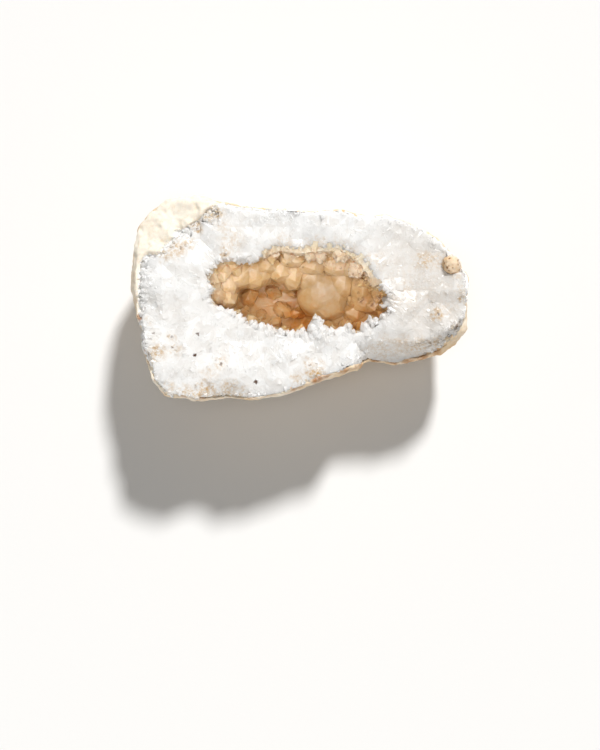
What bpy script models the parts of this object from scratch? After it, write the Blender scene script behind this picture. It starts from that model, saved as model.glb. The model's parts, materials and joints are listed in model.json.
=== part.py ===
# One half of a broken quartz geode, hollow upwards, resting on a small flat spot of its rounded back.
# Metres, +Z up. While the shapes are made, the broken face lies near z = 0 and the back hangs below it.
# The rind, the quartz wall and the crystal crust are three solids with a thin gap between them.

import math
import random

import bmesh
import bpy
from mathutils import Matrix, Vector, noise

MM = 0.001

# Outer skin, seen from above: widest outline, anticlockwise from the right end, in millimetres.
SILHOUETTE = [
    (50.2, -2.1), (49.5, 6.9), (44.9, 12.4), (39.0, 17.7), (32.0, 22.4), (21.0, 25.0),
    (9.6, 26.0), (0.0, 25.2), (-12.0, 25.6), (-21.0, 27.7), (-28.5, 29.4), (-37.8, 31.0),
    (-43.2, 28.3), (-46.0, 25.3), (-49.2, 20.6), (-50.8, 10.8), (-50.1, -2.1), (-49.3, -12.6),
    (-47.5, -17.6), (-46.9, -23.2), (-42.3, -28.8), (-35.0, -30.9), (-22.5, -30.8), (-12.5, -30.4),
    (-1.5, -27.5), (6.0, -24.5), (15.0, -21.6), (21.5, -20.5), (30.0, -21.4), (36.3, -20.4),
    (44.2, -16.7), (49.8, -10.8),
]
# Mouth of the hollow in the broken face, anticlockwise from the right end, in millimetres.
MOUTH = [
    (26.7, -2.1), (26.1, 1.2), (20.7, 4.5), (16.8, 10.5), (12.0, 13.8), (1.2, 11.4),
    (-7.2, 13.8), (-12.6, 11.1), (-18.6, 10.5), (-24.3, 11.1), (-28.2, 4.5), (-25.9, 2.1),
    (-28.8, -0.9), (-24.3, -2.1), (-15.9, -6.0), (-7.2, -8.7), (0.3, -9.6), (10.2, -9.3),
    (18.3, -9.3), (22.8, -6.0),
]
MOUTH_CENTRE = Vector((-0.6, 1.8)) * MM
MOUTH_HALF_LENGTH = 27 * MM
MOUTH_HALF_WIDTH = 12 * MM

HALF_LENGTH = 50 * MM
HALF_WIDTH = 29 * MM
TOTAL_HEIGHT = 36 * MM
FLAT_SPOT_CUT = 0.9 * MM
WIDEST_BELOW_FACE = 7 * MM
ROUND_OVER_HEIGHT = 8 * MM
TOP_RISE = 25 * MM
SKIN_ROUNDING = 0.84

SHOULDER_ANGLE = math.radians(146)
SHOULDER_SPREAD = math.radians(40)
SHOULDER_WIDTH = 8 * MM
FLANK_ANGLE = math.radians(-24)
FLANK_SPREAD = math.radians(27)
FLANK_WIDTH = 5.5 * MM
FLANK_DROP = 6 * MM

LUMP_SIZE = 11 * MM
LUMP_HEIGHT = 1.6 * MM
# A lump's skin lies level where its middle is this share of a lump away, squared.
LUMP_LEVEL = 0.45
GRAIN_SIZE = 4.5 * MM
GRAIN_HEIGHT = 0.7 * MM
CREASE_DEPTH = 1.7 * MM
CREASE_HALF_WIDTH = 2.4 * MM
CREASE_WANDER = 4 * MM
CREASE_WANDER_SIZE = 14 * MM
CREASE_WANDER_SHIFT = 9
# Each crease wanders about the line where the skin meets a plane: its normal and its distance.
CREASES = [
    (Vector((0.55, -0.80, 0.22)).normalized(), -9 * MM),
    (Vector((0.93, 0.30, 0.20)).normalized(), 17 * MM),
    (Vector((-0.25, 0.35, 0.90)).normalized(), -19 * MM),
    (Vector((0.10, 0.98, -0.10)).normalized(), -15 * MM),
]

RIND_THICKNESS = 1.5 * MM
# The rind is thicker in the corner that the shoulder rounds off.
CORNER_ANGLE = math.radians(150)
CORNER_SPREAD = math.radians(33)
CORNER_RIND_EXTRA = 9 * MM
INNER_SOFTNESS = 0.7
GAP = 0.3 * MM

# The broken face: size across and height of its swells, chunks and grains.
FACE_RELIEF = [(24 * MM, 2.2 * MM), (8 * MM, 1.5 * MM), (3.6 * MM, 1.0 * MM)]
FACE_CELLS_X = 30
FACE_CELLS_Y = 19
FACE_OVERHANG = 7 * MM
# Along the right half of its lower edge the face drops over a ledge.
LEDGE_START_X = 17 * MM
LEDGE_FADE = 3 * MM
LEDGE_Y = -12.4 * MM
LEDGE_SLOPE = 1.35
LEDGE_DEPTH = 8 * MM
# It also slopes off towards the skin's round shoulder and at a chip in the lower left edge.
SHOULDER_SLOPE_FROM = 41 * MM
SHOULDER_SLOPE = 0.35
CHIP_X = -24 * MM
CHIP_HALF_WIDTH = 11 * MM
CHIP_Y = -25.5 * MM
CHIP_SLOPE = 0.8

CRUST_THICKNESS = 1.3 * MM
CRUST_INSET = 0.5 * MM
CRUST_STANDS_PROUD = 0.2 * MM
ROOT_COVER = 0.2 * MM
HOLLOW_DEEP = 22 * MM
HOLLOW_SHALLOW = 12 * MM
MOUND_START_X = -4 * MM
MOUND_RUN = 16 * MM
HOLLOW_STEEPNESS = 0.72
# The hollow runs back under its lower lip. This share of a half turn sets how deep it does so most.
UNDERCUT = 2.6 * MM
UNDERCUT_REACH = 0.75
# Under that lip its deep part is also wider by this much.
LIP_UNDERCUT = 2.6 * MM
HOLLOW_LUMPINESS = 2.9
HOLLOW_LUMP_HEIGHT = 1.2 * MM

KNOB_RADIUS = 2.9 * MM
KNOB_LOBE_HEIGHT = 0.35 * MM
KNOB_LOBES = 2.6
KNOB_CENTRE = Vector((44.9, 9.5, -0.8)) * MM

CRYSTALS_BELOW_FACE = 1.2 * MM
CRYSTAL_SPACING = 4.85 * MM
CRYSTAL_RADIUS = (1.9 * MM, 2.9 * MM)
CRYSTAL_SLENDERNESS = (1.1, 1.9)
CRYSTAL_SUNK = 1.1 * MM
# Shares of a crystal's radius: its point's height, its point's shift, and how flat the prism may be.
POINT_HEIGHT = (0.9, 1.25)
POINT_SHIFT = 0.25
PRISM_TAPER = 0.93
PRISM_FLATNESS = (0.8, 1)
SHORTEST_PRISM = 0.25
CRYSTAL_STRAY = 0.35
CRYSTAL_LIFT = 0.3
# Larger crystals that lean over the rim: root, direction, length and radius, in millimetres.
RIM_TEETH = [
    ((4.8, -10.8, -1.6), (-0.10, 1.0, 0.15), 6.2, 2.3),
    ((14.2, -10.8, -1.8), (-0.10, 1.0, 0.20), 3.8, 1.5),
    ((-30.0, 2.2, -1.5), (1.0, 0.0, 0.15), 4.6, 1.6),
    ((-16.0, 12.6, -1.2), (0.15, -1.0, 0.20), 3.6, 1.7),
    ((-19.5, 12.4, -1.4), (0.0, -1.0, 0.15), 3.0, 1.5),
    ((22.6, 5.2, -1.6), (-0.8, -0.6, 0.15), 3.2, 1.4),
    ((2.0, 12.8, -1.4), (0.1, -1.0, 0.20), 3.0, 1.4),
]

# Facets around each rounded body. The skin and what lies inset below it share theirs, so none pokes through.
SKIN_SEGMENTS = 46
HOLLOW_SEGMENTS = 30
KNOB_SEGMENTS = 12

random.seed(47)


def clear_scene():
    for obj in list(bpy.data.objects):
        bpy.data.objects.remove(obj)


def new_collection(name):
    collection = bpy.data.collections.new(name)
    bpy.context.scene.collection.children.link(collection)
    return collection


def add_object(name, bm, collection, parent):
    mesh = bpy.data.meshes.new(name)
    bmesh.ops.recalc_face_normals(bm, faces=bm.faces)
    bm.to_mesh(mesh)
    bm.free()
    obj = bpy.data.objects.new(name, mesh)
    obj.parent = parent
    collection.objects.link(obj)
    return obj


def as_cutter(obj):
    obj.hide_render = True
    obj.display_type = "WIRE"
    return obj


def boolean(obj, other, operation, merge_own_shapes=False):
    modifier = obj.modifiers.new(f"{operation.lower()} {other.name}", "BOOLEAN")
    modifier.operation = operation
    modifier.object = other
    modifier.use_self = merge_own_shapes


def principled(name, colour, roughness):
    material = bpy.data.materials.new(name)
    material.use_nodes = True
    shader = material.node_tree.nodes["Principled BSDF"]
    shader.inputs["Base Color"].default_value = (*colour, 1)
    shader.inputs["Roughness"].default_value = roughness
    shader.inputs["Metallic"].default_value = 0
    return material


def rind_material():
    return principled("weathered rind", (0.80, 0.68, 0.50), 0.9)


def quartz_material():
    return principled("milky quartz", (0.90, 0.89, 0.88), 0.45)


def crust_material():
    return principled("honey crystals", (0.72, 0.50, 0.28), 0.3)


def ease(value):
    value = min(max(value, 0.0), 1.0)
    return value * value * (3 - 2 * value)


def near_angle(angle, centre, spread):
    """1 in the middle of a sector of the outline, falling to 0 at its ends."""
    away = abs(math.remainder(angle - centre, math.tau))
    return ease(1 - away / spread)


def polar_outline(points, centre):
    """The outline as (angle, radius) pairs about a centre, sorted by angle, in metres."""
    pairs = []
    for x, y in points:
        spoke = Vector((x, y)) * MM - centre
        pairs.append((math.atan2(spoke.y, spoke.x), spoke.length))
    return sorted(pairs)


def outline_radius(pairs, angle):
    angles = [pair[0] for pair in pairs]
    following = next((i for i, a in enumerate(angles) if a > angle), 0)
    a0, r0 = pairs[following - 1]
    a1, r1 = pairs[following]
    share = ((angle - a0) % math.tau) / ((a1 - a0) % math.tau)
    return r0 + (r1 - r0) * share


SILHOUETTE_POLAR = polar_outline(SILHOUETTE, Vector((0, 0)))
MOUTH_POLAR = polar_outline(MOUTH, MOUTH_CENTRE)


def shaped_sphere(segments, place):
    """A sphere, poles up and down, whose unit vertices are moved by the place function."""
    bm = bmesh.new()
    bmesh.ops.create_uvsphere(bm, u_segments=segments, v_segments=segments // 2, radius=1)
    bmesh.ops.triangulate(bm, faces=bm.faces, quad_method="FIXED")
    for vertex in bm.verts:
        vertex.co = place(vertex.co.normalized())
    return bm


def skin_relief(point):
    """Height of the rounded lumps, grains and creases of the outer skin at a point."""
    nearest = noise.voronoi(point / LUMP_SIZE)[0][0]
    relief = LUMP_HEIGHT * (LUMP_LEVEL - nearest * nearest)
    relief += GRAIN_HEIGHT * noise.noise(point / GRAIN_SIZE)
    for normal, distance in CREASES:
        wander = CREASE_WANDER * noise.noise(point / CREASE_WANDER_SIZE + normal * CREASE_WANDER_SHIFT)
        away = (point.dot(normal) - distance + wander) / CREASE_HALF_WIDTH
        relief -= CREASE_DEPTH * math.exp(-away * away)
    return relief


def smooth_skin_point(direction, thickness):
    """A point at this thickness under the nodule's skin, before its lumps are added."""
    angle = math.atan2(direction.y * HALF_WIDTH, direction.x * HALF_LENGTH)
    flank = near_angle(angle, FLANK_ANGLE, FLANK_SPREAD)
    shoulder = near_angle(angle, SHOULDER_ANGLE, SHOULDER_SPREAD)
    widest = -WIDEST_BELOW_FACE - FLANK_DROP * flank
    reach_up = TOP_RISE if direction.z > 0 else TOTAL_HEIGHT + FLAT_SPOT_CUT + widest
    height = abs(direction.z) ** SKIN_ROUNDING * (reach_up - thickness)
    z = widest + math.copysign(height, direction.z)
    radius = outline_radius(SILHOUETTE_POLAR, angle)
    climb = min(max((z - widest) / ROUND_OVER_HEIGHT, 0), 1)
    round_over = 1 - math.sqrt(1 - climb * climb)
    pull_in = (SHOULDER_WIDTH * shoulder + FLANK_WIDTH * flank) * round_over / radius
    across = math.hypot(direction.x, direction.y) ** SKIN_ROUNDING
    corner = CORNER_RIND_EXTRA * near_angle(angle, CORNER_ANGLE, CORNER_SPREAD)
    reach = (radius - thickness - (corner if thickness else 0)) * across
    reach *= 1 - pull_in
    return Vector((math.cos(angle) * reach, math.sin(angle) * reach, z))


def nodule_point(direction, inset):
    """A point of the nodule's lumpy skin, or of a softer surface that lies inset below it."""
    point = smooth_skin_point(direction, inset)
    relief = skin_relief(smooth_skin_point(direction, 0))
    point += direction * relief * (INNER_SOFTNESS if inset else 1)
    if not inset:
        point.z = max(point.z, -TOTAL_HEIGHT)
    return point


def face_height(x, y):
    """Height of the broken face at a place, with the drops towards its edges."""
    place = Vector((x, y, 0))
    height = sum(high * noise.noise(place / across) for across, high in FACE_RELIEF)
    past_ledge = ease((x - LEDGE_START_X) / LEDGE_FADE) * max(0, LEDGE_Y - y)
    height -= min(LEDGE_SLOPE * past_ledge, LEDGE_DEPTH)
    towards_shoulder = x * math.cos(SHOULDER_ANGLE) + y * math.sin(SHOULDER_ANGLE)
    height -= SHOULDER_SLOPE * max(0, towards_shoulder - SHOULDER_SLOPE_FROM)
    in_chip = ease(1 - abs(x - CHIP_X) / CHIP_HALF_WIDTH)
    return height - CHIP_SLOPE * in_chip * max(0, CHIP_Y - y)


def broken_off(name, lift, collection, parent):
    """Everything above the broken face, as a block whose underside is the face."""
    bm = bmesh.new()
    bmesh.ops.create_grid(bm, x_segments=FACE_CELLS_X, y_segments=FACE_CELLS_Y, size=1)
    for vertex in bm.verts:
        x = vertex.co.x * (HALF_LENGTH + FACE_OVERHANG)
        y = vertex.co.y * (HALF_WIDTH + FACE_OVERHANG)
        vertex.co = Vector((x, y, face_height(x, y) + lift))
    grown = bmesh.ops.extrude_face_region(bm, geom=bm.faces[:])
    top = [item for item in grown["geom"] if isinstance(item, bmesh.types.BMVert)]
    for vertex in top:
        vertex.co.z = 2 * TOP_RISE
    return as_cutter(add_object(name, bm, collection, parent))


def hollow_point(direction, margin):
    """A point of the hollow's wall, or of a surface that lies a margin outside the mouth's outline."""
    angle = math.atan2(direction.y * MOUTH_HALF_WIDTH, direction.x * MOUTH_HALF_LENGTH)
    across = math.hypot(direction.x, direction.y) ** HOLLOW_STEEPNESS
    reach = (outline_radius(MOUTH_POLAR, angle) + margin) * across
    x = MOUTH_CENTRE.x + math.cos(angle) * reach
    y = MOUTH_CENTRE.y + math.sin(angle) * reach
    if direction.z >= 0:
        return Vector((x, y, TOP_RISE * direction.z))
    towards_mound = ease((x - MOUND_START_X) / MOUND_RUN)
    depth = HOLLOW_DEEP + (HOLLOW_SHALLOW - HOLLOW_DEEP) * towards_mound + margin
    sunk = abs(direction.z) ** HOLLOW_STEEPNESS
    undercut = UNDERCUT + LIP_UNDERCUT * max(0, -math.sin(angle)) * (1 - towards_mound)
    y -= undercut * math.sin(math.pi * sunk * UNDERCUT_REACH)
    lump = HOLLOW_LUMP_HEIGHT * noise.noise(direction * HOLLOW_LUMPINESS)
    return Vector((x, y, -depth * sunk)) + direction * lump * sunk


def hollow_body(name, margin, collection, parent):
    bm = shaped_sphere(HOLLOW_SEGMENTS, lambda direction: hollow_point(direction, margin))
    return as_cutter(add_object(name, bm, collection, parent))


def knob_point(direction, margin):
    """A point of the knob, a lobed blister of the rind, or of a surface a margin outside it."""
    lobes = KNOB_LOBE_HEIGHT * noise.noise(direction * KNOB_LOBES)
    return KNOB_CENTRE + direction * (KNOB_RADIUS + lobes + margin)


def add_crystal(bm, root, direction, length, radius):
    """A six-sided prism with a six-sided point, sunk a little into what it grows from."""
    point_height = radius * random.uniform(*POINT_HEIGHT)
    prism_height = max(length - point_height, SHORTEST_PRISM * length) + CRYSTAL_SUNK
    made = bmesh.ops.create_cone(
        bm, segments=6, radius1=radius, radius2=radius * PRISM_TAPER, depth=prism_height, cap_ends=True
    )
    vertices = made["verts"]
    faces = {face for vertex in vertices for face in vertex.link_faces}
    top = max(faces, key=lambda face: face.calc_center_median().z)
    poked = bmesh.ops.poke(bm, faces=[top], offset=point_height)
    vertices = vertices + poked["verts"]
    poked["verts"][0].co.x += radius * random.uniform(-POINT_SHIFT, POINT_SHIFT)
    squash = Matrix.Diagonal((1, random.uniform(*PRISM_FLATNESS), 1, 1))
    spin = Matrix.Rotation(random.uniform(0, math.pi / 3), 4, "Z")
    aim = direction.to_track_quat("Z", "Y").to_matrix().to_4x4()
    middle = root + direction * (prism_height / 2 - CRYSTAL_SUNK)
    bmesh.ops.transform(bm, verts=vertices, matrix=Matrix.Translation(middle) @ aim @ spin @ squash)


def crystal_roots():
    """Places on the hollow's wall, well apart, each with the direction into the hollow."""
    bm = shaped_sphere(2 * HOLLOW_SEGMENTS, lambda direction: hollow_point(direction, CRUST_INSET))
    bmesh.ops.recalc_face_normals(bm, faces=bm.faces)
    bm.normal_update()
    vertices = [vertex for vertex in bm.verts if vertex.co.z < -CRYSTALS_BELOW_FACE]
    random.shuffle(vertices)
    roots = []
    for vertex in vertices:
        if all((vertex.co - root).length > CRYSTAL_SPACING for root, _ in roots):
            roots.append((vertex.co.copy(), -vertex.normal))
    bm.free()
    return roots


def grow_crystals():
    bm = bmesh.new()
    for root, inwards in crystal_roots():
        stray = Vector([random.uniform(-CRYSTAL_STRAY, CRYSTAL_STRAY) for _ in range(3)])
        direction = (inwards + Vector((0, 0, CRYSTAL_LIFT)) + stray).normalized()
        radius = random.uniform(*CRYSTAL_RADIUS)
        add_crystal(bm, root, direction, radius * random.uniform(*CRYSTAL_SLENDERNESS), radius)
    for root, direction, length, radius in RIM_TEETH:
        add_crystal(bm, Vector(root) * MM, Vector(direction).normalized(), length * MM, radius * MM)
    return bm


def make_rind(parts, cutters, origin, break_off):
    rind = add_object("rind", shaped_sphere(SKIN_SEGMENTS, lambda d: nodule_point(d, 0)), parts, origin)
    inside = shaped_sphere(SKIN_SEGMENTS, lambda d: nodule_point(d, RIND_THICKNESS))
    inner = add_object("inside_of_rind", inside, cutters, origin)
    knob = add_object("knob", shaped_sphere(KNOB_SEGMENTS, lambda d: knob_point(d, 0)), cutters, origin)
    boolean(rind, as_cutter(inner), "DIFFERENCE")
    boolean(rind, break_off, "DIFFERENCE")
    boolean(rind, as_cutter(knob), "UNION")
    rind.data.materials.append(rind_material())
    return rind


def make_quartz_wall(parts, cutters, origin, break_off):
    inset = RIND_THICKNESS + GAP
    outside = shaped_sphere(SKIN_SEGMENTS, lambda d: nodule_point(d, inset))
    wall = add_object("quartz_wall", outside, parts, origin)
    hollow = hollow_body("hollow", CRUST_INSET + CRUST_THICKNESS + GAP, cutters, origin)
    around_knob = shaped_sphere(KNOB_SEGMENTS, lambda d: knob_point(d, 2 * GAP))
    seat = add_object("knob_seat", around_knob, cutters, origin)
    boolean(wall, break_off, "DIFFERENCE")
    boolean(wall, hollow, "DIFFERENCE")
    boolean(wall, as_cutter(seat), "DIFFERENCE")
    wall.data.materials.append(quartz_material())
    return wall


def make_crystal_crust(parts, cutters, origin):
    outside = CRUST_INSET + CRUST_THICKNESS
    lining = shaped_sphere(HOLLOW_SEGMENTS, lambda d: hollow_point(d, outside))
    crust = add_object("crystal_crust", lining, parts, origin)
    room = hollow_body("room_in_crust", CRUST_INSET, cutters, origin)
    limit = hollow_body("crystal_limit", outside - ROOT_COVER, cutters, origin)
    crystals = as_cutter(add_object("crystals", grow_crystals(), cutters, origin))
    boolean(crystals, limit, "INTERSECT", merge_own_shapes=True)
    boolean(crust, room, "DIFFERENCE")
    boolean(crust, crystals, "UNION")
    boolean(crust, broken_off("above_crust", CRUST_STANDS_PROUD, cutters, origin), "DIFFERENCE")
    crust.data.materials.append(crust_material())
    return crust


def stand_on_origin(origin, outermost):
    """Moves the whole half so that the middle of its underside is the world's origin."""
    bpy.context.view_layer.update()
    evaluated = outermost.evaluated_get(bpy.context.evaluated_depsgraph_get())
    corners = [Vector(corner) for corner in evaluated.bound_box]
    low = [min(corner[axis] for corner in corners) for axis in range(3)]
    high = [max(corner[axis] for corner in corners) for axis in range(3)]
    origin.location = (-(low[0] + high[0]) / 2, -(low[1] + high[1]) / 2, -low[2])


def main():
    clear_scene()
    parts = new_collection("quartz geode half")
    cutters = new_collection("cutters")
    origin = bpy.data.objects.new("geode_half", None)
    parts.objects.link(origin)
    break_off = broken_off("above_face", 0, cutters, origin)
    rind = make_rind(parts, cutters, origin, break_off)
    make_quartz_wall(parts, cutters, origin, break_off)
    make_crystal_crust(parts, cutters, origin)
    stand_on_origin(origin, rind)


main()
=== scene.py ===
import json
import math
import random

import bmesh
import bpy
import numpy as np
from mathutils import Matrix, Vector, noise
from mathutils.bvhtree import BVHTree

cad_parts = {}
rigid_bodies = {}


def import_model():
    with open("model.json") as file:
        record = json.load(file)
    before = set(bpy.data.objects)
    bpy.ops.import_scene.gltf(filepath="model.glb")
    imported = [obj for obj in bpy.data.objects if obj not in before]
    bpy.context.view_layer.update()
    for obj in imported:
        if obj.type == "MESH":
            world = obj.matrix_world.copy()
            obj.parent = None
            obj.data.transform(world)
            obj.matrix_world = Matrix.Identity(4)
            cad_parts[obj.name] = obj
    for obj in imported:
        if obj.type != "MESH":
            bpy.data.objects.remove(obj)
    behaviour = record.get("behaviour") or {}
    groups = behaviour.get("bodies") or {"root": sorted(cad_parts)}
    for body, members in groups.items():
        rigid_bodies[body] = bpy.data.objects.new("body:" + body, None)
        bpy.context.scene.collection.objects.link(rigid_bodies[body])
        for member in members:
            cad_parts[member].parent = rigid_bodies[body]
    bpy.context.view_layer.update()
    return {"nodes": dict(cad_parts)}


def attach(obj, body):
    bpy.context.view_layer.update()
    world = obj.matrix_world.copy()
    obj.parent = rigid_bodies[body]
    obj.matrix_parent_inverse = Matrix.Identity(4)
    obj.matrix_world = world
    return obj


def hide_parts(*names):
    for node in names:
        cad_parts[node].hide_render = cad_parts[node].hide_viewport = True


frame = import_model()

# Looks of a broken quartz geode half: chalky rind, milky comb quartz, honey druse in the hollow.
# Everything is in metres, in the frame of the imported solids.

mm = 0.001
random.seed(5)

photo = {
    "mmPerPixel": 0.30,          # real size of one pixel of the photograph at the broken face
    "middle": (300.0, 297.6),    # pixel over the origin
    "centre": (300.0, 375.0),    # pixel in the middle of the 600 x 750 picture
    "height": 750,
}
faceHeight = 36 * mm             # the broken face lies near this height


def onFace(u, v):
    # pixel of the photograph -> x and y on the broken face
    scale = photo["mmPerPixel"] * mm
    return (u - photo["middle"][0]) * scale, (photo["middle"][1] - v) * scale


def linear(hexColour):
    # sRGB hex to the linear values that the shaders take
    values = [int(hexColour[i:i + 2], 16) / 255 for i in (1, 3, 5)]
    return [c / 12.92 if c <= 0.04045 else ((c + 0.055) / 1.055) ** 2.4 for c in values] + [1.0]


def addNode(tree, kind, inputs=None, **settings):
    # one shader node with its settings; an input given as a socket is linked
    node = tree.nodes.new("ShaderNode" + kind)
    for name, value in settings.items():
        setattr(node, name, value)
    for socket, value in (inputs or {}).items():
        if isinstance(value, bpy.types.NodeSocket):
            tree.links.new(value, node.inputs[socket])
        else:
            node.inputs[socket].default_value = value
    return node


def newMaterial(name):
    material = bpy.data.materials.new(name)
    material.use_nodes = True
    material.node_tree.nodes.clear()
    return material, material.node_tree


def newObject(name, mesh, material=None):
    piece = bpy.data.objects.new(name, mesh)
    bpy.context.scene.collection.objects.link(piece)
    if material:
        mesh.materials.append(material)
    return piece


# ---- studio


studio = {
    "floorColour": "#F7F6F4",
    "floorSize": 40.0,
    # large lamps far away, so even over the whole floor: where from, apparent size, strength
    "lamps": [("key", (0.24, 0.74, 0.66), 7.0, 3.6), ("overhead", (-0.05, -0.06, 1.0), 26.0, 0.42)],
    "skyColour": "#FAF8F4",
    "skyStrength": 0.2,
    # white card below the picture: it lifts the shaded sides of the stone, not the paper
    "card": ((0.0, -0.80, 0.50), 70.0, 1.15),
    # the druse lies in the rim's shade; it takes a soft light instead, as comes through the white quartz
    "throughQuartz": ((-0.15, 0.0, 1.0), 80.0, 2.45),
    "lensMm": 85.0,
    "sensorMm": 36.0,
}


def paperFloor():
    # matt white paper: no gloss, a breath of tooth
    material, tree = newMaterial("matt white paper, calendered")
    place = addNode(tree, "TexCoord")
    tooth = addNode(tree, "TexNoise", {"Vector": place.outputs["Object"], "Scale": 900.0, "Detail": 3.0})
    bump = addNode(tree, "Bump", {"Height": tooth.outputs[0], "Strength": 0.05, "Distance": 0.0002})
    shade = addNode(tree, "BsdfPrincipled", {
        "Base Color": linear(studio["floorColour"]), "Roughness": 0.9,
        "Specular IOR Level": 0.2, "Normal": bump.outputs[0],
    })
    out = addNode(tree, "OutputMaterial")
    tree.links.new(shade.outputs[0], out.inputs[0])
    return material


def addLamp(name, direction, spread, strength):
    light = bpy.data.lights.new(name, "SUN")
    light.angle = math.radians(spread)
    light.energy = strength
    lamp = bpy.data.objects.new(name, light)
    lamp.location = direction
    lamp.rotation_euler = Vector(direction).to_track_quat("Z", "Y").to_euler()
    bpy.context.scene.collection.objects.link(lamp)
    return lamp


def buildStudio():
    mesh = bpy.data.meshes.new("paperFloor")
    half = studio["floorSize"] / 2
    corners = [(-half, -half, 0), (half, -half, 0), (half, half, 0), (-half, half, 0)]
    mesh.from_pydata(corners, [], [(0, 1, 2, 3)])
    floor = newObject("paperFloor", mesh, paperFloor())

    world = bpy.data.worlds.new("soft sky")
    world.use_nodes = True
    background = world.node_tree.nodes["Background"]
    background.inputs["Color"].default_value = linear(studio["skyColour"])
    background.inputs["Strength"].default_value = studio["skyStrength"]
    bpy.context.scene.world = world

    for name, direction, spread, strength in studio["lamps"]:
        addLamp(name, direction, spread, strength)


def buildCamera():
    # straight down; the picture's middle lies below the geode
    x, y = onFace(*photo["centre"])
    seen = photo["height"] * photo["mmPerPixel"] * mm
    data = bpy.data.cameras.new("camera")
    data.lens = studio["lensMm"]
    data.sensor_width = studio["sensorMm"]
    data.clip_start = 0.01
    camera = bpy.data.objects.new("camera", data)
    camera.location = (x, y, faceHeight + seen * studio["lensMm"] / studio["sensorMm"])
    bpy.context.scene.collection.objects.link(camera)
    bpy.context.scene.camera = camera
    bpy.context.scene.view_settings.view_transform = "Standard"


buildStudio()
buildCamera()
print("studio and camera ready")


# ---- shapes shared by the pieces


def weldedCopy(node, grow, widen=0.0):
    # copy of a CAD solid's mesh, its split corners welded; every face moves out a little, the hollow's wall more
    bm = bmesh.new()
    bm.from_mesh(frame["nodes"][node].data)
    bmesh.ops.remove_doubles(bm, verts=bm.verts, dist=1e-7)
    bm.normal_update()
    shifts = []
    for v in bm.verts:
        steep = min(max((0.55 - v.normal.z) / 0.3, 0), 1)
        inwards = 1 if v.normal.x * v.co.x + v.normal.y * v.co.y < 0 else 0
        shifts.append(v.normal * grow + Vector((v.normal.x, v.normal.y, 0)) * widen * steep * inwards)
    for v, shift in zip(bm.verts, shifts):
        v.co += shift
    return bm


def surfaceOf(node):
    bm = weldedCopy(node, 0)
    tree = BVHTree.FromBMesh(bm)
    bm.free()
    return tree


surfaces = {name: surfaceOf(name) for name in ("rind", "quartz_wall", "crystal_crust")}


def hexCrystal(root, direction, length, radius, blunt=1.0):
    # six-sided prism with a six-sided point; the sides differ a little, as grown ones do
    aim = direction.to_track_quat("Z", "Y")
    turn = random.uniform(0, math.pi / 3)
    flat = random.uniform(0.75, 1.0)
    spokes = []
    for k in range(6):
        angle = turn + k * math.pi / 3 + random.uniform(-0.10, 0.10)
        reach = radius * random.uniform(0.88, 1.08)
        spokes.append(Vector((reach * math.cos(angle), reach * flat * math.sin(angle), 0)))
    pointLength = min(radius * random.uniform(0.9, 1.3), 0.8 * length)
    shoulder = [length - pointLength * random.uniform(0.85, 1.1) for _ in range(6)]
    tip = Vector((random.uniform(-0.25, 0.25) * radius, random.uniform(-0.25, 0.25) * radius, length * blunt))
    points = [root + aim @ s for s in spokes]
    points += [root + aim @ (s * 0.95 + Vector((0, 0, z))) for s, z in zip(spokes, shoulder)]
    points.append(root + aim @ tip)
    faces = [tuple(range(5, -1, -1))]
    faces += [(k, (k + 1) % 6, 6 + (k + 1) % 6, 6 + k) for k in range(6)]
    faces += [(6 + k, 6 + (k + 1) % 6, 12) for k in range(6)]
    return points, faces


def brokenGrain(centre, axis, length, radius):
    # an irregular convex splinter, longer along its axis
    aim = axis.to_track_quat("Z", "Y")
    bm = bmesh.new()
    for _ in range(11):
        p = Vector([random.gauss(0, 1) for _ in range(3)]).normalized()
        p = Vector((p.x * radius, p.y * radius, p.z * length / 2))
        bm.verts.new(centre + aim @ p)
    bmesh.ops.convex_hull(bm, input=bm.verts)
    loose = [v for v in bm.verts if not v.link_faces]
    bmesh.ops.delete(bm, geom=loose, context="VERTS")
    bm.verts.index_update()
    points = [v.co.copy() for v in bm.verts]
    faces = [tuple(v.index for v in f.verts) for f in bm.faces]
    bm.free()
    return points, faces


def keepLargestShell(mesh):
    # slivers and crystals that touch nothing go
    bm = bmesh.new()
    bm.from_mesh(mesh)
    unseen, shells = set(bm.verts), []
    while unseen:
        front = [unseen.pop()]
        shell = list(front)
        while front:
            nearby = {edge.other_vert(v) for v in front for edge in v.link_edges} & unseen
            unseen -= nearby
            front = list(nearby)
            shell += front
        shells.append(shell)
    shells.sort(key=len)
    bmesh.ops.delete(bm, geom=[v for shell in shells[:-1] for v in shell], context="VERTS")
    bm.to_mesh(mesh)
    bm.free()


def fuse(name, bm, grown):
    # joins the grown crystals and the body into one closed solid
    mesh = bpy.data.meshes.new(name)
    bm.to_mesh(mesh)
    bm.free()
    body = newObject(name + "Raw", mesh)
    pile = bpy.data.collections.new(name + "Grown")
    bpy.context.scene.collection.children.link(pile)
    for points, faces in grown:
        bit = bpy.data.meshes.new("grown")
        bit.from_pydata(points, [], faces)
        pile.objects.link(bpy.data.objects.new("grown", bit))
    join = body.modifiers.new("join", "BOOLEAN")
    join.operation = "UNION"
    join.operand_type = "COLLECTION"
    join.collection = pile
    join.solver = "MANIFOLD"
    done = bpy.data.meshes.new_from_object(body.evaluated_get(bpy.context.evaluated_depsgraph_get()))
    for bit in list(pile.objects):
        bpy.data.objects.remove(bit)
    bpy.data.collections.remove(pile)
    bpy.data.objects.remove(body)
    done.name = name
    keepLargestShell(done)
    print(name, "fused from", len(grown), "crystals:", len(done.polygons), "faces")
    return done


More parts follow.
